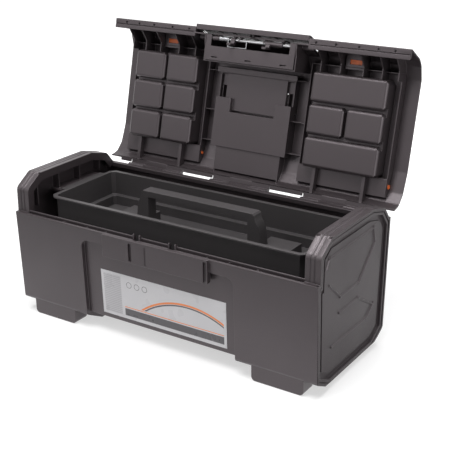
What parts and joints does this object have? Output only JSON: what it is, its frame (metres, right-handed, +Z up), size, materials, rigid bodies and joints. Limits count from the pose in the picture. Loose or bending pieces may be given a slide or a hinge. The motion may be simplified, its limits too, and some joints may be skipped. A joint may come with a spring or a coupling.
{
  "type": "toolbox with tray",
  "caption": "Long moulded toolbox with raised ends, a lift-out tray with a bridge handle, a hinged lid with organiser pockets and a folding handle, and a wide sprung front latch.",
  "frame": {"origin": "on the floor, midway between the ends and midway between the front rim and the back rim", "axes": "+X along the box to its right end, +Y from the front to the back, +Z up; the lid stands open"},
  "size_m": [0.59, 0.3493, 0.4808],
  "materials": {
    "body_plastic": "satin moulded polypropylene",
    "tray_plastic": "satin moulded polypropylene",
    "orange_plastic": "smooth moulded plastic",
    "steel": "bright zinc-plated steel",
    "label_paper": "smooth white film"
  },
  "bodies": {
    "tub": {"tub": "body_plastic", "label": "label_paper", "hinge_pin_left": "body_plastic", "hinge_pin_centre": "body_plastic", "hinge_pin_right": "body_plastic"},
    "tray": {"tray": "tray_plastic"},
    "lid": {"lid": "body_plastic", "organiser_bin_left": "body_plastic", "organiser_bin_right": "body_plastic", "latch_plate": "body_plastic", "latch_rod": "steel", "handle_pin_left": "body_plastic", "handle_pin_right": "body_plastic", "cover_pin_left_inner": "orange_plastic", "cover_pin_left_outer": "orange_plastic", "cover_pin_right_inner": "orange_plastic", "cover_pin_right_outer": "orange_plastic"},
    "front_latch": {"latch_lever": "body_plastic", "latch_frame": "body_plastic", "latch_screw": "steel", "latch_spring": "steel"},
    "carry_handle": {"carry_handle": "body_plastic"},
    "organiser_cover_left": {"organiser_cover_left": "body_plastic"},
    "organiser_cover_right": {"organiser_cover_right": "body_plastic"},
    "cover_latch_left": {"cover_latch_left": "orange_plastic"},
    "cover_latch_right": {"cover_latch_right": "orange_plastic"}
  },
  "joints": [
    {"name": "lid_hinge", "type": "hinge", "parent": "tub", "child": "lid", "pos_m": [0, 0.1274, 0.2125], "axis": [1, 0, 0], "range_deg": [0, 103.8]},
    {"name": "tray_lift", "type": "slide", "parent": "tub", "child": "tray", "axis": [0, 0, 1], "range_m": [0, 0.16]},
    {"name": "carry_handle_hinge", "type": "hinge", "parent": "lid", "child": "carry_handle", "pos_m": [0, 0.19271, 0.33794], "axis": [-1, 0, 0], "range_deg": [0, 95]},
    {"name": "cover_left_hinge", "type": "hinge", "parent": "lid", "child": "organiser_cover_left", "pos_m": [-0.1845, 0.16664, 0.24858], "axis": [-1, 0, 0], "range_deg": [0, 100]},
    {"name": "cover_right_hinge", "type": "hinge", "parent": "lid", "child": "organiser_cover_right", "pos_m": [0.1845, 0.16664, 0.24858], "axis": [-1, 0, 0], "range_deg": [0, 100]},
    {"name": "cover_latch_left_hinge", "type": "hinge", "parent": "organiser_cover_left", "child": "cover_latch_left", "pos_m": [-0.1845, 0.22149, 0.42664], "axis": [-1, 0, 0], "range_deg": [0, 50]},
    {"name": "cover_latch_right_hinge", "type": "hinge", "parent": "organiser_cover_right", "child": "cover_latch_right", "pos_m": [0.1845, 0.22149, 0.42664], "axis": [-1, 0, 0], "range_deg": [0, 50]},
    {"name": "front_latch_hinge", "type": "hinge", "parent": "lid", "child": "front_latch", "pos_m": [0, 0.1739, 0.45841], "axis": [1, 0, 0], "range_deg": [0, 15], "stiffness_Nm_per_rad": 0.15, "springref_deg": -20.05}
  ]
}
